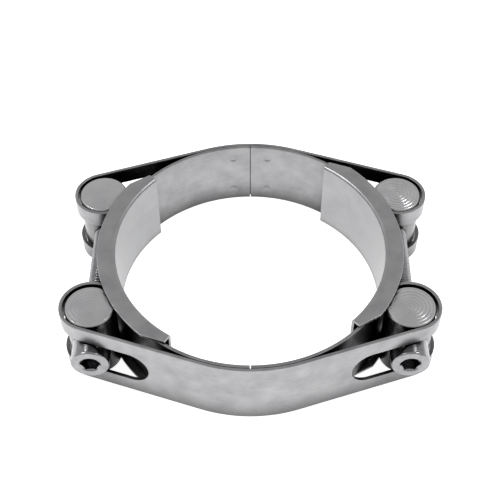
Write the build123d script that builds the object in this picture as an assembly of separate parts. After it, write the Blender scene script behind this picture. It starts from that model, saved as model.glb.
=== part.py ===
from build123d import *
from math import acos, cos, degrees, radians, sin
import os

os.makedirs("parts", exist_ok=True)

# Frame: the pipe runs along Z, the bolts along Y, the two bolts stand left and right on X.
# The origin is the centre of the ring, halfway up the strip. Millimetres throughout.

# Driving sizes of the strip and of the two halves.
band_width = 26.6
strip = 1.2
formed_radius = 48.0
stand_off = 2.0
layer_gap = 0.1
seam_gap = 0.3

# Driving sizes of the eyes, which are the loops that hold the trunnions.
eye_radius = 9.2
eye_angle = 24.241
eye_clearance = 0.055
window_width = 14.0
window_inboard = 20.1
window_past_bolt = 6.55

# Spot welds that hold the two ends of each strip on the layer behind them.
weld_radius = 1.5
weld_x = 6.0
weld_z = 8.0
dimple_depth = 0.3

# Driving sizes of the trunnions.
trunnion_clearance = 0.7
trunnion_shift = -0.4
trunnion_proud = 0.1
trunnion_chamfer = 0.5
clearance_bore = 4.5
threaded_bore = 4.0
spotface_radius = 7.2
spotface_depth = 2.1

# Driving sizes of the socket head bolts, M8 x 70.
shank_radius = 3.95
bolt_length = 70.0
head_radius = 6.5
head_height = 8.0
socket_flats = 6.0
socket_depth = 5.0

# Driving sizes of the bridges, which are channels under the two gaps.
bridge_sheet = 1.0
bridge_clearance = 0.3
bridge_slack = 0.4
flange_width = 6.3
flange_tip_width = 3.5
bridge_half_angle = 49.5
flange_taper_angle = 8.6
left_bridge_angle = 187.0
right_bridge_angle = 4.75

# Sizes that follow from the ones above.
half_width = band_width / 2
inner_skin = formed_radius + strip
lap_inside = inner_skin + layer_gap
lap_outside = lap_inside + strip
eye_outside = eye_radius + strip
eye_reach = inner_skin + eye_radius + eye_clearance
eye_x = eye_reach * cos(radians(eye_angle))
eye_y = eye_reach * sin(radians(eye_angle))
window_start_x = eye_x - window_inboard
window_end_x = eye_x - window_past_bolt
lap_join = eye_angle + degrees(acos((lap_inside - eye_radius) / eye_reach))
trunnion_radius = eye_radius - trunnion_clearance
trunnion_length = 2 * (half_width + trunnion_proud)
bridge_outside = formed_radius - bridge_clearance
bridge_inside = bridge_outside - bridge_sheet
flange_radius = bridge_inside + flange_width
flange_under = half_width + bridge_slack
flange_top = flange_under + bridge_sheet


def polar(radius, angle, centre=(0.0, 0.0)):
    """Point at a radius and an angle in degrees about a centre, in plan."""
    x = centre[0] + radius * cos(radians(angle))
    y = centre[1] + radius * sin(radians(angle))
    return (x, y)


def mirrored(point):
    """The same point on the other side of the YZ plane."""
    return (-point[0], point[1])


def half_outline(ring_radius, loop_radius, lap_radius):
    """Closed outline in plan: pipe arc, round both eyes, and back over the lap."""
    eye = (eye_x, eye_y)
    leave = eye_angle + degrees(acos((ring_radius + loop_radius) / eye_reach))
    join = eye_angle + degrees(acos((lap_radius - loop_radius) / eye_reach))
    ring_end = polar(ring_radius, leave)
    loop_start = polar(loop_radius, leave + 180, eye)
    loop_middle = polar(loop_radius, (leave + 180 + join + 360) / 2, eye)
    loop_end = polar(loop_radius, join, eye)
    lap_start = polar(lap_radius, join)
    edges = [
        ThreePointArc(mirrored(ring_end), (0, ring_radius), ring_end),
        Line(ring_end, loop_start),
        ThreePointArc(loop_start, loop_middle, loop_end),
        Line(loop_end, lap_start),
        ThreePointArc(lap_start, (0, lap_radius), mirrored(lap_start)),
        Line(mirrored(lap_start), mirrored(loop_end)),
        ThreePointArc(mirrored(loop_end), mirrored(loop_middle), mirrored(loop_start)),
        Line(mirrored(loop_start), mirrored(ring_end)),
    ]
    return Face(Wire(edges))


def window_cutter():
    """Tool for the long window that lets the bolt through the eye on the +X side."""
    half = window_width / 2
    tangent = (-sin(radians(lap_join)), cos(radians(lap_join)), 0)
    normal = (cos(radians(lap_join)), sin(radians(lap_join)), 0)
    run = (window_start_x - lap_inside * normal[0]) / -tangent[0]
    lap_plane = Plane(
        origin=Vector(normal) * (lap_inside - strip),
        x_dir=Vector(tangent) * -1,
        z_dir=normal,
    )
    depth = 4 * strip
    length = 2.3 * eye_outside
    lap_slot = Pos(run + half + length / 2, 0, depth / 2) * Box(length, window_width, depth)
    lap_end = Pos(run + half, 0, depth / 2) * Cylinder(half, depth)
    over_lap = lap_plane * (lap_slot + lap_end)
    reach = 3 * eye_outside
    loop_slot = Pos(window_end_x + half + reach / 2, eye_y, 0) * Box(reach, reach, window_width)
    loop_end = Pos(window_end_x + half, eye_y, 0) * Rot(X=90) * Cylinder(half, reach)
    return over_lap + loop_slot + loop_end


def make_half():
    """One half of the band, a single strip folded into an eye at each end."""
    outside = half_outline(formed_radius, eye_outside, lap_outside)
    inside = half_outline(inner_skin, eye_radius, lap_inside)
    body = extrude(outside, half_width, both=True)
    body -= extrude(inside, half_width, both=True)
    for x in (weld_x, -weld_x):
        for z in (weld_z, -weld_z):
            nugget = Pos(x, formed_radius + strip, z) * Rot(X=90) * Cylinder(weld_radius, strip)
            body += nugget
    window = window_cutter()
    body -= window
    body -= mirror(window, about=Plane.YZ)
    body -= Pos(0, formed_radius + strip / 2, 0) * Box(seam_gap, strip + layer_gap, band_width)
    ball = (weld_radius**2 + dimple_depth**2) / (2 * dimple_depth)
    for x in (weld_x, -weld_x):
        skin_y = (formed_radius**2 - x**2) ** 0.5
        for z in (weld_z, -weld_z):
            body -= Pos(x, skin_y - ball + dimple_depth, z) * Sphere(ball)
    return body


def make_trunnion(bore_radius, spotfaced):
    """Round cross pin with the bolt hole through it along Y, and a seat for the head."""
    pin = Cylinder(trunnion_radius, trunnion_length)
    pin = chamfer(pin.edges().filter_by(GeomType.CIRCLE), trunnion_chamfer)
    pin -= Rot(X=90) * Cylinder(bore_radius, 3 * trunnion_radius)
    if spotfaced:
        seat_y = -(trunnion_radius - spotface_depth)
        seat = Rot(X=90) * Cylinder(spotface_radius, spotface_depth * 2)
        pin -= Pos(0, seat_y - spotface_depth, 0) * seat
    return pin


def make_bolt():
    """Socket head bolt along +Y with the bearing face of the head at y = 0."""
    head = Pos(0, 0, -head_height / 2) * Cylinder(head_radius, head_height)
    face_edge = head.edges().filter_by(GeomType.CIRCLE).sort_by(Axis.Z)[0]
    head = fillet(face_edge, 0.7)
    corner_radius = socket_flats / 2 / cos(radians(30))
    hexagon = RegularPolygon(corner_radius, 6)
    head -= Pos(0, 0, -head_height) * extrude(hexagon, socket_depth)
    mouth = Cone(corner_radius + 0.25, corner_radius - 0.35, 0.6)
    head -= Pos(0, 0, -head_height + 0.3) * mouth
    shank = Pos(0, 0, bolt_length / 2) * Cylinder(shank_radius, bolt_length)
    tip_edge = shank.edges().filter_by(GeomType.CIRCLE).sort_by(Axis.Z)[-1]
    shank = chamfer(tip_edge, 0.8)
    return Rot(X=-90) * (head + shank)


def make_bridge(middle_angle):
    """Channel under one gap: a web inside the ring and a flange over each strip edge."""
    span = 2 * bridge_half_angle
    web_x = (bridge_inside + bridge_outside) / 2
    flange_x = (bridge_inside + flange_radius) / 2
    flange_z = (flange_under + flange_top) / 2
    profile = Pos(web_x, 0) * Rectangle(bridge_sheet, 2 * flange_top)
    for side in (1, -1):
        profile += Pos(flange_x, side * flange_z) * Rectangle(
            flange_radius - bridge_inside, bridge_sheet
        )
    outer_corners = profile.vertices().group_by(Axis.X)[0]
    profile = fillet(outer_corners, bridge_sheet * 1.15)
    section = Plane.XZ * profile
    ring = revolve(section, Axis.Z, span)
    body = Rot(Z=middle_angle - bridge_half_angle) * ring
    for side in (1, -1):
        end = middle_angle + side * bridge_half_angle
        wide = Vector(*polar(flange_radius, end - side * flange_taper_angle))
        tip = Vector(*polar(bridge_inside + flange_tip_width, end))
        along = (tip - wide).normalized()
        first = wide - along * 3
        second = tip + along * 3
        far_tip = Vector(*polar(flange_radius + 12, end + side * 6))
        far_wide = Vector(*polar(flange_radius + 12, end - side * (flange_taper_angle + 6)))
        corner = Face(Wire.make_polygon([first, second, far_tip, far_wide], close=True))
        cutter = extrude(corner, 2 * flange_top, both=True)
        body -= cutter
    return body


half = make_half()
rear_band = Pos(0, stand_off, 0) * half
front_band = Rot(Z=180) * rear_band

nut_pin = make_trunnion(threaded_bore, False)
plain_pin = make_trunnion(clearance_bore, True)
rear_pin_y = stand_off + eye_y + trunnion_shift
front_pin_y = -stand_off - eye_y + trunnion_shift
bearing_y = front_pin_y - trunnion_radius + spotface_depth
bolt = make_bolt()

pieces = {
    "rear_band": rear_band,
    "front_band": front_band,
    "rear_left_trunnion": Pos(-eye_x, rear_pin_y, 0) * nut_pin,
    "rear_right_trunnion": Pos(eye_x, rear_pin_y, 0) * nut_pin,
    "front_left_trunnion": Pos(-eye_x, front_pin_y, 0) * plain_pin,
    "front_right_trunnion": Pos(eye_x, front_pin_y, 0) * plain_pin,
    "left_bolt": Pos(-eye_x, bearing_y, 0) * bolt,
    "right_bolt": Pos(eye_x, bearing_y, 0) * bolt,
    "left_bridge": make_bridge(left_bridge_angle),
    "right_bridge": make_bridge(right_bridge_angle),
}

for name, piece in pieces.items():
    export_step(piece, "parts/" + name + ".step")
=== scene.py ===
"""Looks of a double bolt hose clamp: zinc plated strip halves, turned pins, socket screws and bridges."""

import logging
from dataclasses import dataclass, field
from enum import Enum
from math import acos, atan2, cos, degrees, hypot, pi, radians, sin

import bmesh
import bpy
from mathutils import Matrix, Vector


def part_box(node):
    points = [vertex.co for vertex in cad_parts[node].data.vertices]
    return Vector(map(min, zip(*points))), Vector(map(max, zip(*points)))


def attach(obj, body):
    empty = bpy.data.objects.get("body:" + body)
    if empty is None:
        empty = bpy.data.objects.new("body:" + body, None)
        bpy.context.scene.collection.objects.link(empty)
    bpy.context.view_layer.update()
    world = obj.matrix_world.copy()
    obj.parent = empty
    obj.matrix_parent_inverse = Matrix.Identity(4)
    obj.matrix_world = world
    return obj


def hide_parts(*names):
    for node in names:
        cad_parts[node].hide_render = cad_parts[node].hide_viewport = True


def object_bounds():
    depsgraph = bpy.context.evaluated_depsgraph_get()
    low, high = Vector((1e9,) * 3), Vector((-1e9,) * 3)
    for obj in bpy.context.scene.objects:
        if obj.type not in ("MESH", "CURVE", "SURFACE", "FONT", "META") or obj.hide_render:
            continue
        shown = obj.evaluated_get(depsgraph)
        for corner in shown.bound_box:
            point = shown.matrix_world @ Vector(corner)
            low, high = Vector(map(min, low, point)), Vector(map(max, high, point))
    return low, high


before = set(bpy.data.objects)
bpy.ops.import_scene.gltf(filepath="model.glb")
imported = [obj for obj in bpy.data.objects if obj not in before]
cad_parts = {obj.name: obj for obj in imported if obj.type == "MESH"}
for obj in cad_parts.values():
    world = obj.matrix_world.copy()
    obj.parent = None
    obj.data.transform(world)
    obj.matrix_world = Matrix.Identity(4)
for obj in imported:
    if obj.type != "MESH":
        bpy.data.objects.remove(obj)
CAD_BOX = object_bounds()

LOG = logging.getLogger("clamp")
MM = 0.001
FRAME_PIXELS = 500
MERGE_DISTANCE = 1e-6

# Painted shade: share of open surroundings at which a crevice's colour is painted darkest, and from which
# a face counts as open.
CREVICE_SHUT = 0.3
CREVICE_OPEN = 0.9

Point = tuple[float, float]
Point3 = tuple[float, float, float]


class Side(Enum):
    """Left and right of the pipe, as the sign of X."""

    LEFT = -1
    RIGHT = 1


class Half(Enum):
    """Front and rear half of the clamp, as the sign of Y."""

    FRONT = -1
    REAR = 1


def linear(hex_colour: str) -> tuple[float, float, float, float]:
    """Turn an sRGB hex colour into Blender's linear colour.

    Args:
        hex_colour: Six hex digits, without a hash.

    Returns:
        Red, green, blue and an alpha of one.
    """
    channels = [int(hex_colour[i:i + 2], 16) / 255 for i in (0, 2, 4)]
    straight = [c / 12.92 if c <= 0.04045 else ((c + 0.055) / 1.055) ** 2.4 for c in channels]
    return (straight[0], straight[1], straight[2], 1.0)


def add_node(tree: bpy.types.NodeTree, kind: str, settings: dict | None = None,
             inputs: dict | None = None) -> bpy.types.Node:
    """Add one node with its settings and links.

    Args:
        tree: The tree that gets the node.
        kind: The node's type name.
        settings: Attributes to set on the node.
        inputs: Socket name or index to a value, or to the output socket to link.

    Returns:
        The new node.
    """
    node = tree.nodes.new(kind)
    for name, value in (settings or {}).items():
        setattr(node, name, value)
    for name, value in (inputs or {}).items():
        if isinstance(value, bpy.types.NodeSocket):
            tree.links.new(value, node.inputs[name])
        else:
            node.inputs[name].default_value = value
    return node


def painted_crevice_shade(tree: bpy.types.NodeTree, colour: bpy.types.NodeSocket, reach: float,
           floor_share: float) -> bpy.types.NodeSocket:
    """Paint shade into a colour in crevices: an ambient occlusion mask darkens the colour where walls
    stand near.

    Args:
        tree: The material's tree.
        colour: The colour of the open surface.
        reach: How far off a facing wall still counts, in metres.
        floor_share: Share of the colour that is left in the deepest places.

    Returns:
        The colour, darkened by painted shade in crevices.
    """
    # Painted shade: the occlusion mask scales the base colour down near walls.
    nearness = add_node(tree, "ShaderNodeAmbientOcclusion", {"samples": 8}, {"Distance": reach})
    share = add_node(tree, "ShaderNodeMapRange", {"interpolation_type": "SMOOTHSTEP"}, {
        "Value": nearness.outputs["AO"], "From Min": CREVICE_SHUT, "From Max": CREVICE_OPEN,
        "To Min": floor_share, "To Max": 1.0})
    shaded = add_node(tree, "ShaderNodeVectorMath", {"operation": "SCALE"}, {
        0: colour, "Scale": share.outputs[0]})
    return shaded.outputs[0]


def polar(radius: float, angle: float, centre: Point = (0.0, 0.0)) -> Point:
    """Give the point at a radius and an angle in degrees about a centre."""
    return (centre[0] + radius * cos(radians(angle)), centre[1] + radius * sin(radians(angle)))


def arc(radius: float, start: float, end: float, centre: Point = (0.0, 0.0),
        step: float = 1.5) -> list[Point]:
    """Give points along an arc, both ends included.

    Args:
        radius: Radius in metres.
        start: First angle in degrees.
        end: Last angle in degrees.
        centre: Centre of the arc.
        step: Largest turn from one point to the next, in degrees.

    Returns:
        The points in order.
    """
    count = max(2, int(abs(end - start) / step) + 1)
    return [polar(radius, start + (end - start) * i / count, centre) for i in range(count + 1)]


def mesh_object(name: str, vertices: list, faces: list) -> bpy.types.Object:
    """Make a linked mesh object at the origin with its faces turned outward.

    Args:
        name: Name of the object and its mesh.
        vertices: Points in metres.
        faces: Lists of vertex numbers.

    Returns:
        The object.
    """
    mesh = bpy.data.meshes.new(name)
    mesh.from_pydata([tuple(v) for v in vertices], [], faces)
    build = bmesh.new()
    build.from_mesh(mesh)
    bmesh.ops.remove_doubles(build, verts=build.verts, dist=MERGE_DISTANCE)
    bmesh.ops.recalc_face_normals(build, faces=build.faces)
    build.to_mesh(mesh)
    build.free()
    thing = bpy.data.objects.new(name, mesh)
    bpy.context.scene.collection.objects.link(thing)
    return thing


def prism(name: str, outline: list[Point], low: float, high: float) -> bpy.types.Object:
    """Make an upright prism over a closed outline in the XY plane.

    Args:
        name: Name of the object.
        outline: Corners in order.
        low: Height of the lower face.
        high: Height of the upper face.

    Returns:
        The prism.
    """
    count = len(outline)
    vertices = [(x, y, low) for x, y in outline] + [(x, y, high) for x, y in outline]
    faces = [[i, (i + 1) % count, count + (i + 1) % count, count + i] for i in range(count)]
    faces += [list(range(count))[::-1], list(range(count, 2 * count))]
    return mesh_object(name, vertices, faces)


def lathe(name: str, profile: list[Point], segments: int = 96) -> bpy.types.Object:
    """Turn a profile of radius and height round Z; it starts and ends on the axis.

    Args:
        name: Name of the object.
        profile: Radius and height pairs from one end of the axis to the other.
        segments: Number of faces round the axis.

    Returns:
        The turned solid.
    """
    vertices: list[Point3] = [(0, 0, profile[0][1])]
    for radius, height in profile[1:-1]:
        for i in range(segments):
            x, y = polar(radius, 360 * i / segments)
            vertices.append((x, y, height))
    vertices.append((0, 0, profile[-1][1]))
    last = len(vertices) - 1
    rings = len(profile) - 2
    faces = []
    for i in range(segments):
        after = (i + 1) % segments
        faces.append([0, 1 + after, 1 + i])
        for ring in range(rings - 1):
            low, high = 1 + ring * segments, 1 + (ring + 1) * segments
            faces.append([low + i, low + after, high + after, high + i])
        top = 1 + (rings - 1) * segments
        faces.append([top + i, top + after, last])
    return mesh_object(name, vertices, faces)


def evaluate(thing: bpy.types.Object) -> None:
    """Apply every modifier on an object and leave it a plain mesh."""
    bpy.context.view_layer.update()
    graph = bpy.context.evaluated_depsgraph_get()
    mesh = bpy.data.meshes.new_from_object(thing.evaluated_get(graph))
    thing.modifiers.clear()
    old = thing.data
    thing.data = mesh
    bpy.data.meshes.remove(old)
    mesh.name = thing.name


def cut(thing: bpy.types.Object, tools: list[bpy.types.Object]) -> None:
    """Cut tool solids out of a solid, then remove the tools."""
    for tool in tools:
        modifier = thing.modifiers.new("cut", "BOOLEAN")
        modifier.operation = "DIFFERENCE"
        modifier.solver = "EXACT"
        modifier.object = tool
    evaluate(thing)
    for tool in tools:
        bpy.data.objects.remove(tool)


def soften(thing: bpy.types.Object, width: float, segments: int = 2, angle: float = 35) -> None:
    """Round the sharp edges of a solid and shade the rest smooth."""
    bevel = thing.modifiers.new("edges", "BEVEL")
    bevel.width = width
    bevel.segments = segments
    bevel.limit_method = "ANGLE"
    bevel.angle_limit = radians(angle)
    bevel.use_clamp_overlap = True
    bevel.harden_normals = False
    evaluate(thing)
    smooth(thing, angle)


def smooth(thing: bpy.types.Object, angle: float = 35) -> None:
    """Shade faces smooth, but keep edges sharper than an angle in degrees."""
    for polygon in thing.data.polygons:
        polygon.use_smooth = True
    thing.data.set_sharp_from_angle(angle=radians(angle))


@dataclass(frozen=True)
class ZincStrip:
    """Zinc plated cold rolled steel strip.

    Rolling leaves faint lines along the strip and plating leaves a soft cloudy sheen, so the
    eye sees a satin grey that is a little streaked, with small handling scratches.
    """

    name: str = "zinc_plated_strip"
    light: str = "A0A0A1"
    dark: str = "808082"
    roughness: float = 0.32
    streak_width: float = 0.5 * MM
    streak_stretch: float = 60
    round_streak_share: float = 8
    streak_weight: float = 0.35
    grain_size: float = 0.6 * MM
    cloud_size: float = 7 * MM
    scratch_depth: float = 0.03 * MM
    along_strip: bool = True
    # Painted shade in crevices: how far off a wall still darkens the colour, and the share of colour left
    # where it is darkest.
    painted_shade_reach: float = 16 * MM
    painted_shade_floor: float = 0.03

    def material(self) -> bpy.types.Material:
        """Build the node material and return it."""
        made = bpy.data.materials.new(self.name)
        made.use_nodes = True
        tree = made.node_tree
        tree.nodes.clear()
        coordinates = add_node(tree, "ShaderNodeTexCoord")
        place = coordinates.outputs["UV" if self.along_strip else "Object"]
        stretch = 1 / self.streak_width
        along = stretch / self.streak_stretch
        across = along * self.round_streak_share
        scale = (along, stretch, 1) if self.along_strip else (across, across, stretch)
        streaks_place = add_node(tree, "ShaderNodeMapping", inputs={"Vector": place, "Scale": scale})
        streaks = add_node(tree, "ShaderNodeTexNoise", inputs={
            "Vector": streaks_place.outputs[0], "Scale": 1.0, "Detail": 3.0, "Roughness": 0.6})
        clouds = add_node(tree, "ShaderNodeTexNoise", inputs={
            "Vector": coordinates.outputs["Object"], "Scale": 1 / self.cloud_size,
            "Detail": 4.0, "Roughness": 0.55})
        grains = add_node(tree, "ShaderNodeTexNoise", inputs={
            "Vector": coordinates.outputs["Object"], "Scale": 1 / self.grain_size, "Detail": 2.0})
        blend = add_node(tree, "ShaderNodeMath", {"operation": "MULTIPLY_ADD"}, {
            0: streaks.outputs["Fac"], 1: self.streak_weight, 2: clouds.outputs["Fac"]})
        spread = add_node(tree, "ShaderNodeMapRange", inputs={
            "Value": blend.outputs[0], "From Min": 0.4, "From Max": 0.95})
        tone = add_node(tree, "ShaderNodeMix", {"data_type": "RGBA"}, {
            "Factor": spread.outputs[0], 6: linear(self.dark), 7: linear(self.light)})
        gloss = add_node(tree, "ShaderNodeMapRange", inputs={
            "Value": blend.outputs[0], "From Min": 0.4, "From Max": 0.95,
            "To Min": self.roughness - 0.05, "To Max": self.roughness + 0.08})
        height = add_node(tree, "ShaderNodeMath", {"operation": "MULTIPLY_ADD"}, {
            0: grains.outputs["Fac"], 1: 0.5, 2: streaks.outputs["Fac"]})
        bump = add_node(tree, "ShaderNodeBump", inputs={
            "Strength": 0.35, "Distance": self.scratch_depth, "Height": height.outputs[0]})
        # The base colour carries painted shade in crevices.
        shader = add_node(tree, "ShaderNodeBsdfPrincipled", inputs={
            "Base Color": painted_crevice_shade(tree, tone.outputs[2], self.painted_shade_reach, self.painted_shade_floor),
            "Metallic": 1.0, "Roughness": gloss.outputs[0], "Normal": bump.outputs[0]})
        add_node(tree, "ShaderNodeOutputMaterial", inputs={"Surface": shader.outputs[0]})
        return made


@dataclass(frozen=True)
class TurnedSteel:
    """Zinc plated steel cut on a lathe.

    The parting tool leaves rings on the end face, which catch the lamps as a cross of short
    bright lines through the centre. The barrel's colour is darker than the ends'.
    """

    name: str
    centre: Point3
    half_length: float
    ring_depth: float
    barrel_share: float = 0.42
    barrel_start: float = 0.6 * MM
    barrel_blend: float = 0.4 * MM
    wobble_size: float = 3 * MM
    cloud_size: float = 5 * MM
    light: str = "C2C2C3"
    dark: str = "AEAEB0"
    roughness: float = 0.27
    # A lathe feeds about 0.2 mm a turn, but rings that fine would vanish at this picture's size.
    ring_pitch: float = 1.25 * MM

    def material(self) -> bpy.types.Material:
        """Build the node material and return it."""
        made = bpy.data.materials.new(self.name)
        made.use_nodes = True
        tree = made.node_tree
        tree.nodes.clear()
        coordinates = add_node(tree, "ShaderNodeTexCoord")
        centred = add_node(tree, "ShaderNodeMapping", inputs={
            "Vector": coordinates.outputs["Object"], "Location": [-c for c in self.centre]})
        flat = add_node(tree, "ShaderNodeVectorMath", {"operation": "MULTIPLY"}, {
            0: centred.outputs[0], 1: (1, 1, 0)})
        radius = add_node(tree, "ShaderNodeVectorMath", {"operation": "LENGTH"}, {
            0: flat.outputs[0]})
        wobble = add_node(tree, "ShaderNodeTexNoise", inputs={
            "Vector": centred.outputs[0], "Scale": 1 / self.wobble_size, "Detail": 2.0})
        turns = add_node(tree, "ShaderNodeMath", {"operation": "MULTIPLY_ADD"}, {
            0: radius.outputs["Value"], 1: 2 * pi / self.ring_pitch, 2: wobble.outputs["Fac"]})
        wave = add_node(tree, "ShaderNodeMath", {"operation": "SINE"}, {0: turns.outputs[0]})
        clouds = add_node(tree, "ShaderNodeTexNoise", inputs={
            "Vector": centred.outputs[0], "Scale": 1 / self.cloud_size, "Detail": 4.0})
        tone = add_node(tree, "ShaderNodeMix", {"data_type": "RGBA"}, {
            "Factor": clouds.outputs["Fac"], 6: linear(self.dark), 7: linear(self.light)})
        split = add_node(tree, "ShaderNodeSeparateXYZ", inputs={0: centred.outputs[0]})
        off_middle = add_node(tree, "ShaderNodeMath", {"operation": "ABSOLUTE"}, {0: split.outputs[2]})
        # The barrel's colour is scaled down to barrel_share of the ends' colour.
        barrel_end = self.half_length - self.barrel_start
        end_share = add_node(tree, "ShaderNodeMapRange", inputs={
            "Value": off_middle.outputs[0], "From Min": barrel_end,
            "From Max": barrel_end + self.barrel_blend, "To Min": self.barrel_share, "To Max": 1.0})
        barrel_darkened = add_node(tree, "ShaderNodeVectorMath", {"operation": "SCALE"}, {
            0: tone.outputs[2], "Scale": end_share.outputs[0]})
        gloss = add_node(tree, "ShaderNodeMapRange", inputs={
            "Value": clouds.outputs["Fac"], "To Min": self.roughness - 0.05,
            "To Max": self.roughness + 0.07})
        worn = add_node(tree, "ShaderNodeMath", {"operation": "MULTIPLY"}, {
            0: wave.outputs[0], 1: clouds.outputs["Fac"]})
        bump = add_node(tree, "ShaderNodeBump", inputs={
            "Strength": 1.0, "Distance": self.ring_depth * 2, "Height": worn.outputs[0]})
        # The base colour carries painted shade in crevices, down to 3 % within 16 mm of a wall.
        shader = add_node(tree, "ShaderNodeBsdfPrincipled", inputs={
            "Base Color": painted_crevice_shade(tree, barrel_darkened.outputs[0], 16 * MM, 0.03), "Metallic": 1.0,
            "Roughness": gloss.outputs[0], "Normal": bump.outputs[0]})
        add_node(tree, "ShaderNodeOutputMaterial", inputs={"Surface": shader.outputs[0]})
        return made


@dataclass(frozen=True)
class BrightZinc:
    """Bright zinc plating on a forged and rolled screw, almost a mirror, with a faint mottle."""

    name: str = "bright_zinc_screw"
    light: str = "9E9EA0"
    dark: str = "727275"
    roughness: float = 0.18
    mottle_size: float = 2.5 * MM

    def material(self) -> bpy.types.Material:
        """Build the node material and return it."""
        made = bpy.data.materials.new(self.name)
        made.use_nodes = True
        tree = made.node_tree
        tree.nodes.clear()
        coordinates = add_node(tree, "ShaderNodeTexCoord")
        mottle = add_node(tree, "ShaderNodeTexNoise", inputs={
            "Vector": coordinates.outputs["Object"], "Scale": 1 / self.mottle_size, "Detail": 4.0})
        tone = add_node(tree, "ShaderNodeMix", {"data_type": "RGBA"}, {
            "Factor": mottle.outputs["Fac"], 6: linear(self.dark), 7: linear(self.light)})
        gloss = add_node(tree, "ShaderNodeMapRange", inputs={
            "Value": mottle.outputs["Fac"], "To Min": self.roughness - 0.06,
            "To Max": self.roughness + 0.1})
        bump = add_node(tree, "ShaderNodeBump", inputs={
            "Strength": 0.25, "Distance": 0.02 * MM, "Height": mottle.outputs["Fac"]})
        # The base colour carries painted shade in the socket and between the thread flanks, down to a
        # fifth within 4 mm.
        shader = add_node(tree, "ShaderNodeBsdfPrincipled", inputs={
            "Base Color": painted_crevice_shade(tree, tone.outputs[2], 4 * MM, 0.2), "Metallic": 1.0,
            "Roughness": gloss.outputs[0], "Normal": bump.outputs[0]})
        add_node(tree, "ShaderNodeOutputMaterial", inputs={"Surface": shader.outputs[0]})
        return made


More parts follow.
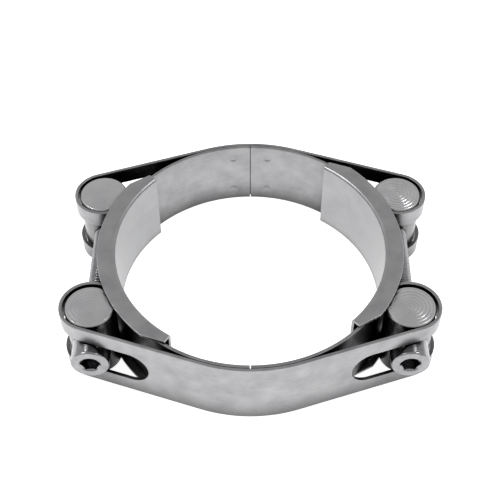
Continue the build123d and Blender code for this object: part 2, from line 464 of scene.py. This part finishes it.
@dataclass
class BandHalf:
    """One folded strip: pipe arc, an eye at each end, and the lap outside."""

    half: Half
    width: float = 26.6 * MM
    strip: float = 1.2 * MM
    formed_radius: float = 48 * MM
    stand_off: float = 2 * MM
    layer_gap: float = 0.1 * MM
    seam_gap: float = 0.3 * MM
    eye: Point = (53.3 * MM, 24 * MM)
    eye_radius: float = 9.2 * MM
    window_width: float = 14 * MM
    window_start: float = 33.2 * MM
    window_end: float = 46.75 * MM
    edge_round: float = 0.28 * MM
    lap_slot_reach: float = 24 * MM
    loop_slot_reach: float = 37 * MM
    # Low enough to keep the rims of the weld dimples crisp.
    crease_angle: float = 16
    weld_places: tuple[Point, ...] = field(default=tuple(
        (x * MM, z * MM) for x in (-6, 6) for z in (-8, 8)))
    weld_radius: float = 1.5 * MM
    dimple_depth: float = 0.3 * MM

    def lap_join(self) -> float:
        """Give the angle at which the strip meets the lap, in degrees."""
        reach = hypot(*self.eye)
        lap = self.formed_radius + self.strip + self.layer_gap
        return degrees(atan2(self.eye[1], self.eye[0])) + degrees(acos((lap - self.eye_radius) / reach))

    def centreline(self) -> list[Point]:
        """Give the middle line of the strip in plan, from seam to seam, for the rear half."""
        middle = self.strip / 2
        inner = self.formed_radius + middle
        loop = self.eye_radius + middle
        lap = self.formed_radius + self.strip + self.layer_gap + middle
        reach = hypot(*self.eye)
        lean = degrees(atan2(self.eye[1], self.eye[0]))
        leave = lean + degrees(acos((inner + loop) / reach))
        join = self.lap_join()
        seam = degrees(self.seam_gap / 2 / inner)
        right = arc(inner, 90 - seam, leave)
        right += arc(loop, leave + 180, join + 360, self.eye, 3)
        right += arc(lap, join, 90)
        left = [(-x, y) for x, y in reversed(right[:-1])]
        return right + left

    def section(self) -> list[Point]:
        """Give the strip's section as offset and height, with its long edges rounded."""
        half_strip, half_width, fillet = self.strip / 2, self.width / 2, self.edge_round
        corners = [(1, 1, 0), (-1, 1, 90), (-1, -1, 180), (1, -1, 270)]
        points: list[Point] = []
        for side, end, start in corners:
            centre = (side * (half_strip - fillet), end * (half_width - fillet))
            points += [polar(fillet, start + turn, centre) for turn in (0, 30, 60, 90)]
        return points

    def sweep(self) -> bpy.types.Object:
        """Sweep the section along the middle line, with its length and height as a UV map."""
        line, section = self.centreline(), self.section()
        vertices, faces, lengths = [], [], [0.0]
        for i, point in enumerate(line):
            before, after = line[max(i - 1, 0)], line[min(i + 1, len(line) - 1)]
            tangent = Vector((after[0] - before[0], after[1] - before[1])).normalized()
            normal = Vector((-tangent.y, tangent.x))
            for offset, height in section:
                vertices.append((point[0] + normal.x * offset, point[1] + normal.y * offset, height))
            if i:
                step = hypot(point[0] - line[i - 1][0], point[1] - line[i - 1][1])
                lengths.append(lengths[-1] + step)
        count = len(section)
        for i in range(len(line) - 1):
            for j in range(count):
                after = (j + 1) % count
                low, high = i * count, (i + 1) * count
                faces.append([low + j, low + after, high + after, high + j])
        faces.append(list(range(count)))
        faces.append(list(range(len(vertices) - count, len(vertices)))[::-1])
        mesh = bpy.data.meshes.new("strip")
        mesh.from_pydata(vertices, [], faces)
        uv = mesh.uv_layers.new(name="strip")
        for loop in mesh.loops:
            number = loop.vertex_index
            uv.data[loop.index].uv = (lengths[number // count], vertices[number][2])
        build = bmesh.new()
        build.from_mesh(mesh)
        bmesh.ops.recalc_face_normals(build, faces=build.faces)
        build.to_mesh(mesh)
        build.free()
        thing = bpy.data.objects.new("strip", mesh)
        bpy.context.scene.collection.objects.link(thing)
        return thing

    def window_tools(self, side: Side) -> list[bpy.types.Object]:
        """Make the two cutters of one window, for the rear half before it is placed."""
        half = self.window_width / 2
        join = radians(self.lap_join())
        lap = self.formed_radius + self.strip + self.layer_gap
        run = (self.window_start - lap * cos(join)) / sin(join)
        depth = 4 * self.strip
        ends = arc(half, 90, 270, (half, 0), 6)
        far = self.lap_slot_reach
        over = prism("over_lap", [(x + run, z) for x, z in ends + [(far, -half), (far, half)]], 0, depth)
        along = Vector((sin(join), -cos(join), 0))
        normal = Vector((cos(join), sin(join), 0))
        across = normal.cross(along)
        place = Matrix((along, across, normal)).transposed().to_4x4()
        place.translation = normal * (lap - self.strip)
        over.data.transform(place)
        reach = 3 * (self.eye_radius + self.strip)
        far = self.loop_slot_reach
        stadium = [(x + self.window_end, z) for x, z in ends + [(far, -half), (far, half)]]
        round_loop = prism("round_loop", stadium, -reach / 2, reach / 2)
        turn = Matrix.Rotation(radians(90), 4, "X")
        turn.translation = Vector((0, self.eye[1], 0))
        round_loop.data.transform(turn)
        for tool in (over, round_loop):
            if side is Side.LEFT:
                tool.data.transform(Matrix.Scale(-1, 4, Vector((1, 0, 0))))
                tool.data.flip_normals()
        return [over, round_loop]

    def dimple_tools(self) -> list[bpy.types.Object]:
        """Make the balls that press the weld dimples into the inner skin."""
        ball = (self.weld_radius**2 + self.dimple_depth**2) / (2 * self.dimple_depth)
        tools = []
        for x, z in self.weld_places:
            skin = (self.formed_radius**2 - x**2) ** 0.5
            rows = 24
            tool = lathe("dimple", [(ball * sin(pi * i / rows), -ball * cos(pi * i / rows))
                                    for i in range(rows + 1)])
            tool.data.transform(Matrix.Rotation(radians(90), 4, "X"))
            tool.data.transform(Matrix.Translation((x, skin - ball + self.dimple_depth, z)))
            tools.append(tool)
        return tools

    def build(self, finish: bpy.types.Material) -> bpy.types.Object:
        """Make, dress and seat the half.

        Args:
            finish: Material of the strip.

        Returns:
            The finished piece.
        """
        thing = self.sweep()
        cut(thing, self.window_tools(Side.RIGHT) + self.window_tools(Side.LEFT))
        cut(thing, self.dimple_tools())
        smooth(thing, self.crease_angle)
        thing.data.transform(Matrix.Translation((0, self.stand_off, 0)))
        if self.half is Half.FRONT:
            thing.data.transform(Matrix.Rotation(pi, 4, "Z"))
        node = f"{self.half.name.lower()}_band"
        return seat(thing, node, f"{self.half.name.lower()}_half", finish)


@dataclass
class Trunnion:
    """Cross pin that an eye holds: a chamfered round bar with a hole for the screw."""

    half: Half
    side: Side
    radius: float = 8.5 * MM
    chamfer: float = 0.5 * MM
    clearance_bore: float = 4.5 * MM
    threaded_bore: float = 4.0 * MM
    spotface_radius: float = 7.2 * MM
    spotface_depth: float = 2.1 * MM
    edge_round: float = 0.12 * MM

    def build(self) -> bpy.types.Object:
        """Make, dress and seat the pin, and return it."""
        node = f"{self.half.name.lower()}_{self.side.name.lower()}_trunnion"
        low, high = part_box(node)
        centre = (low + high) / 2
        tall = (high.z - low.z) / 2
        outline = [(0, -tall), (self.radius - self.chamfer, -tall), (self.radius, self.chamfer - tall),
                   (self.radius, tall - self.chamfer), (self.radius - self.chamfer, tall), (0, tall)]
        thing = lathe(node + "_turned", outline, 128)
        bore = self.clearance_bore if self.half is Half.FRONT else self.threaded_bore
        tools = [self.drill(bore, -2 * self.radius, 2 * self.radius)]
        if self.half is Half.FRONT:
            seat_y = self.radius - self.spotface_depth
            tools.append(self.drill(self.spotface_radius, -2 * self.radius, -seat_y))
        cut(thing, tools)
        soften(thing, self.edge_round, angle=25)
        thing.data.transform(Matrix.Translation(centre))
        finish = TurnedSteel(f"turned_{node}", tuple(centre), tall, self.ring_depth()).material()
        return seat(thing, node, f"{self.half.name.lower()}_half", finish)

    def ring_depth(self) -> float:
        """Give the depth of the tool rings, which differs from pin to pin as cut."""
        depths = {(Half.REAR, Side.RIGHT): 0.08, (Half.FRONT, Side.RIGHT): 0.04,
                  (Half.FRONT, Side.LEFT): 0.022, (Half.REAR, Side.LEFT): 0.008}
        return depths[(self.half, self.side)] * MM

    def drill(self, radius: float, start: float, end: float) -> bpy.types.Object:
        """Make a cutter along Y from a start to an end."""
        tool = lathe("drill", [(0, start), (radius, start), (radius, end), (0, end)])
        tool.data.transform(Matrix.Rotation(radians(-90), 4, "X"))
        return tool


@dataclass
class Screw:
    """M8 socket head screw: rounded head, hexagon socket and a rolled thread."""

    side: Side
    pitch: float = 1.25 * MM
    shank_radius: float = 3.95 * MM
    thread_depth: float = 0.62 * MM
    head_radius: float = 6.5 * MM
    head_height: float = 8 * MM
    head_round: float = 0.8 * MM
    socket_flats: float = 6 * MM
    socket_depth: float = 5 * MM
    tip_chamfer: float = 0.9 * MM
    bearing_break: float = 0.25 * MM
    mouth_step: float = 0.35 * MM
    mouth_depth: float = 0.6 * MM
    mouth_overlap: float = 0.1 * MM
    drill_radius: float = 2.52 * MM
    drill_point: float = 1.2 * MM
    edge_round: float = 0.1 * MM
    # The depth grows a little faster than the flank needs, which leaves a flat root.
    flank_gain: float = 1.18
    rows_per_turn: int = 8
    round_steps: int = 48

    def head(self) -> bpy.types.Object:
        """Make the head along Z, with its bearing face at zero and its socket below."""
        big, tall, fillet = self.head_radius, self.head_height, self.head_round
        centre = (big - fillet, fillet - tall)
        rim = arc(fillet, -90, 0, centre, 15)
        back = self.bearing_break
        profile = [(0, -tall)] + rim + [(big, -back), (big - back, 0), (0, 0)]
        thing = lathe("head", profile, 128)
        corner = self.socket_flats / 2 / cos(radians(30))
        hexagon = [polar(corner, 60 * i) for i in range(6)]
        socket = prism("socket", hexagon, -2 * tall, self.socket_depth - tall)
        outer, inner = -tall - self.mouth_overlap, self.mouth_depth - tall
        mouth = lathe("mouth", [(0, outer), (corner + self.mouth_step, outer),
                                (corner - self.mouth_step, inner), (0, inner)])
        drilled = self.socket_depth - tall
        tip = lathe("drill_point", [(0, -tall), (self.drill_radius, -tall), (self.drill_radius, drilled),
                                    (0, drilled + self.drill_point)], 64)
        cut(thing, [socket, mouth, tip])
        soften(thing, self.edge_round, angle=30)
        return thing

    def thread(self, length: float, finish: bpy.types.Material) -> bpy.types.Object:
        """Make the threaded shank along Z with Geometry Nodes.

        Args:
            length: Length from the bearing face to the tip.
            finish: Material of the plating.

        Returns:
            A plain mesh.
        """
        host = bpy.data.objects.new("thread", bpy.data.meshes.new("thread_seed"))
        bpy.context.scene.collection.objects.link(host)
        tree = bpy.data.node_groups.new("rolled_thread", "GeometryNodeTree")
        sockets = {"Length": length, "Radius": self.shank_radius, "Pitch": self.pitch,
                   "Depth": self.thread_depth, "Chamfer": self.tip_chamfer}
        identifiers = {}
        for name in sockets:
            made = tree.interface.new_socket(name, in_out="INPUT", socket_type="NodeSocketFloat")
            identifiers[name] = made.identifier
        tree.interface.new_socket("Geometry", in_out="OUTPUT", socket_type="NodeSocketGeometry")
        given = tree.nodes.new("NodeGroupInput").outputs
        rows = int(length / self.pitch) * self.rows_per_turn
        grid = add_node(tree, "GeometryNodeMeshGrid", inputs={
            "Size X": 1.0, "Size Y": 1.0, "Vertices X": self.round_steps + 1, "Vertices Y": rows})
        place = add_node(tree, "GeometryNodeInputPosition")
        split = add_node(tree, "ShaderNodeSeparateXYZ", inputs={0: place.outputs[0]})

        def maths(operation: str, *values: object) -> bpy.types.NodeSocket:
            """Add one maths node on sockets or numbers and return its output."""
            node = add_node(tree, "ShaderNodeMath", {"operation": operation},
                            dict(enumerate(values)))
            return node.outputs[0]

        round_share = maths("ADD", split.outputs[0], 0.5)
        along_share = maths("ADD", split.outputs[1], 0.5)
        height = maths("MULTIPLY", along_share, given["Length"])
        phase = maths("FRACT", maths("SUBTRACT", maths("DIVIDE", height, given["Pitch"]), round_share))
        ridge = maths("MULTIPLY", maths("ABSOLUTE", maths("SUBTRACT", phase, 0.5)), 2.0)
        crest = maths("MINIMUM", maths("MULTIPLY", ridge, self.flank_gain), 1.0)
        valley = maths("SUBTRACT", given["Radius"], maths("MULTIPLY", given["Depth"], crest))
        from_tip = maths("SUBTRACT", given["Length"], height)
        bare = maths("SUBTRACT", given["Radius"], given["Chamfer"])
        limited = maths("MINIMUM", valley, maths("ADD", bare, from_tip))
        inside = maths("LESS_THAN", along_share, 0.99999)
        started = maths("GREATER_THAN", along_share, 0.00001)
        radius = maths("MULTIPLY", maths("MULTIPLY", limited, inside), started)
        angle = maths("MULTIPLY", round_share, 2 * pi)
        x = maths("MULTIPLY", radius, maths("COSINE", angle))
        y = maths("MULTIPLY", radius, maths("SINE", angle))
        point = add_node(tree, "ShaderNodeCombineXYZ", inputs={0: x, 1: y, 2: height})
        moved = add_node(tree, "GeometryNodeSetPosition", inputs={
            "Geometry": grid.outputs["Mesh"], "Position": point.outputs[0]})
        closed = add_node(tree, "GeometryNodeMergeByDistance", inputs={
            "Geometry": moved.outputs[0], "Distance": MERGE_DISTANCE})
        real = add_node(tree, "GeometryNodeRealizeInstances", inputs={0: closed.outputs[0]})
        dressed = add_node(tree, "GeometryNodeSetMaterial", inputs={
            "Geometry": real.outputs[0], "Material": finish})
        add_node(tree, "NodeGroupOutput", inputs={"Geometry": dressed.outputs[0]})
        modifier = host.modifiers.new("thread", "NODES")
        modifier.node_group = tree
        for name, value in sockets.items():
            modifier[identifiers[name]] = value
        evaluate(host)
        return host

    def build(self, finish: bpy.types.Material) -> bpy.types.Object:
        """Make, dress and seat the screw.

        Args:
            finish: Material of the plating.

        Returns:
            The finished piece.
        """
        node = f"{self.side.name.lower()}_bolt"
        low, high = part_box(node)
        bearing = low.y + self.head_height
        head, thread = self.head(), self.thread(high.y - bearing, finish)
        build = bmesh.new()
        build.from_mesh(head.data)
        build.from_mesh(thread.data)
        bmesh.ops.recalc_face_normals(build, faces=build.faces)
        build.to_mesh(head.data)
        build.free()
        bpy.data.objects.remove(thread)
        smooth(head, 40)
        head.data.transform(Matrix.Rotation(radians(-90), 4, "X"))
        head.data.transform(Matrix.Translation(((low.x + high.x) / 2, bearing, 0)))
        return seat(head, node, f"{self.side.name.lower()}_screw", finish)


@dataclass
class Bridge:
    """Channel under one gap: a web inside the ring and a flange over each strip edge."""

    side: Side
    sheet: float = 1.0 * MM
    inside: float = 46.7 * MM
    flange_radius: float = 53 * MM
    tip_width: float = 3.5 * MM
    half_angle: float = 49.5
    taper_angle: float = 8.6
    left_angle: float = 187.0
    right_angle: float = 4.75
    bend_radius: float = 1.15 * MM
    inner_bend: float = 0.15 * MM
    edge_round: float = 0.2 * MM
    steps: int = 100

    def reach(self, off_end: float) -> float:
        """Give the flange's outer radius at an angle in degrees before the end."""
        if off_end >= self.taper_angle:
            return self.flange_radius
        wide = Vector(polar(self.flange_radius, self.taper_angle))
        tip = Vector(polar(self.inside + self.tip_width, 0))
        ray = Vector(polar(1, off_end))
        edge = tip - wide
        return (wide.x * edge.y - wide.y * edge.x) / (ray.x * edge.y - ray.y * edge.x)

    def section(self, outer: float, top: float) -> list[Point]:
        """Give the channel's section as radius and height for one reach of its flanges."""
        bend, edge, sheet = self.bend_radius, self.edge_round, self.sheet
        upper = arc(bend, 180, 90, (self.inside + bend, top - bend), 12)
        upper += arc(edge, 90, 0, (outer - edge, top - edge), 30)
        upper += arc(edge, 0, -90, (outer - edge, top - sheet + edge), 30)
        corner = (self.inside + sheet + self.inner_bend, top - sheet - self.inner_bend)
        upper += arc(self.inner_bend, 90, 180, corner, 30)
        return upper + [(radius, -height) for radius, height in reversed(upper)]

    def build(self, finish: bpy.types.Material) -> bpy.types.Object:
        """Make, dress and seat the channel.

        Args:
            finish: Material of the sheet.

        Returns:
            The finished piece.
        """
        node = f"{self.side.name.lower()}_bridge"
        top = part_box(node)[1].z
        middle = self.left_angle if self.side is Side.LEFT else self.right_angle
        angles = [i * 2 * self.half_angle / self.steps for i in range(self.steps + 1)]
        angles += [self.taper_angle, 2 * self.half_angle - self.taper_angle]
        angles.sort()
        vertices, faces = [], []
        for angle in angles:
            outer = self.reach(min(angle, 2 * self.half_angle - angle))
            section = self.section(outer, top)
            for radius, height in section:
                x, y = polar(radius, middle - self.half_angle + angle)
                vertices.append((x, y, height))
        count = len(section)
        for i in range(len(angles) - 1):
            for j in range(count):
                after = (j + 1) % count
                low, high = i * count, (i + 1) * count
                faces.append([low + j, low + after, high + after, high + j])
        faces.append(list(range(count)))
        faces.append(list(range(len(vertices) - count, len(vertices)))[::-1])
        thing = mesh_object(node + "_channel", vertices, faces)
        smooth(thing, 30)
        return seat(thing, node, f"{self.side.name.lower()}_channel", finish)


def seat(thing: bpy.types.Object, node: str, body: str,
         finish: bpy.types.Material) -> bpy.types.Object:
    """Give a piece its name, finish, body and slot, in place of its plain solid.

    Args:
        thing: The finished mesh, in place.
        node: The solid that it stands for.
        body: The body that it rides on.
        finish: Its material.

    Returns:
        The same piece.
    """
    thing.name = node + "_finished"
    thing.data.name = thing.name
    thing.data.materials.clear()
    thing.data.materials.append(finish)
    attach(thing, body)
    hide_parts(node)
    triangles = sum(len(p.vertices) - 2 for p in thing.data.polygons)
    LOG.info("%s: %d triangles", thing.name, triangles)
    return thing


@dataclass
class Studio:
    """Pale floor, white surroundings, soft lamps and the camera of the photograph."""

    floor_height: float
    camera_place: Point3 = (-0.105 * MM, -238.94 * MM, 282.65 * MM)
    camera_pitch: float = 50.27
    focal_pixels: float = 1035.7
    centre_drop_pixels: float = 30
    floor_size: float = 3.0
    floor_glow: float = 0.9
    low_sky: float = 0.9
    high_sky: float = 0.58
    lamp_size: float = 0.16
    lamp_reach: float = 0.54
    lamp_shift: float = 0.02
    lamp_height: float = 0.72
    left_power: float = 2.6
    right_power: float = 1.8

    def floor(self) -> None:
        """Lay the pale floor, white to the camera, with the object's shadow on it."""
        size = self.floor_size
        corners = [(-size, -size, self.floor_height), (size, -size, self.floor_height),
                   (size, size, self.floor_height), (-size, size, self.floor_height)]
        thing = mesh_object("floor", corners, [[0, 1, 2, 3]])
        material = bpy.data.materials.new("white_card")
        material.use_nodes = True
        tree = material.node_tree
        tree.nodes.clear()
        path = add_node(tree, "ShaderNodeLightPath")
        card = add_node(tree, "ShaderNodeBsdfDiffuse", inputs={"Color": linear("F2F2F2")})
        glow = add_node(tree, "ShaderNodeEmission", inputs={
            "Color": linear("FFFFFF"), "Strength": self.floor_glow})
        both = add_node(tree, "ShaderNodeAddShader", inputs={0: card.outputs[0], 1: glow.outputs[0]})
        seen = add_node(tree, "ShaderNodeMath", {"operation": "MAXIMUM"}, {
            0: path.outputs["Is Camera Ray"], 1: path.outputs["Is Glossy Ray"]})
        mix = add_node(tree, "ShaderNodeMixShader", inputs={
            0: seen.outputs[0], 1: card.outputs[0], 2: both.outputs[0]})
        add_node(tree, "ShaderNodeOutputMaterial", inputs={"Surface": mix.outputs[0]})
        thing.data.materials.append(material)

    def world(self) -> None:
        """Surround the scene with a soft grey that is white to the camera."""
        world = bpy.data.worlds.new("studio")
        bpy.context.scene.world = world
        world.use_nodes = True
        tree = world.node_tree
        tree.nodes.clear()
        coordinates = add_node(tree, "ShaderNodeTexCoord")
        split = add_node(tree, "ShaderNodeSeparateXYZ", inputs={0: coordinates.outputs["Generated"]})
        level = add_node(tree, "ShaderNodeMapRange", inputs={
            "Value": split.outputs[2], "From Min": 0.15, "From Max": 0.9,
            "To Min": self.low_sky, "To Max": self.high_sky})
        path = add_node(tree, "ShaderNodeLightPath")
        strength = add_node(tree, "ShaderNodeMix", {"data_type": "FLOAT"}, {
            0: path.outputs["Is Camera Ray"], 2: level.outputs[0], 3: 1.0})
        back = add_node(tree, "ShaderNodeBackground", inputs={
            "Color": (1, 1, 1, 1), "Strength": strength.outputs[0]})
        add_node(tree, "ShaderNodeOutputWorld", inputs={"Surface": back.outputs[0]})

    def lamp(self, name: str, place: Point3, power: float) -> None:
        """Hang one square soft lamp that faces the object."""
        light = bpy.data.lights.new(name, "AREA")
        light.size = self.lamp_size
        light.energy = power
        thing = bpy.data.objects.new(name, light)
        thing.location = place
        thing.rotation_euler = (-Vector(place)).to_track_quat("-Z", "Y").to_euler()
        bpy.context.scene.collection.objects.link(thing)

    def camera(self) -> None:
        """Set the camera where the photograph was taken from."""
        data = bpy.data.cameras.new("camera")
        data.sensor_width = 36
        data.lens = self.focal_pixels * data.sensor_width / FRAME_PIXELS
        data.shift_y = self.centre_drop_pixels / FRAME_PIXELS
        data.clip_start = 0.01
        thing = bpy.data.objects.new("camera", data)
        thing.location = self.camera_place
        thing.rotation_euler = (radians(90 - self.camera_pitch), 0, 0)
        bpy.context.scene.collection.objects.link(thing)
        bpy.context.scene.camera = thing

    def build(self) -> None:
        """Set up everything that isn't part of the object."""
        self.floor()
        self.world()
        self.lamp("left", (-self.lamp_reach, -self.lamp_shift, self.lamp_height), self.left_power)
        self.lamp("right", (self.lamp_reach, self.lamp_shift, self.lamp_height), self.right_power)
        self.camera()
        bpy.context.scene.view_settings.view_transform = "Standard"


def main() -> None:
    """Build the studio, then each sub-assembly of the clamp in order."""
    logging.basicConfig(level=logging.INFO)
    Studio(CAD_BOX[0].z).build()
    strip = ZincStrip().material()
    # The channel's colour also carries painted shade in crevices, over a shorter reach.
    sheet = ZincStrip("zinc_plated_channel", "A2A2A3", "909092", 0.36, along_strip=False,
                      painted_shade_reach=5 * MM, painted_shade_floor=0.3).material()
    plating = BrightZinc().material()
    for half in Half:
        BandHalf(half).build(strip)
        for side in Side:
            Trunnion(half, side).build()
    for side in Side:
        Screw(side).build(plating)
        Bridge(side).build(sheet)


if __name__ == "__main__":
    main()
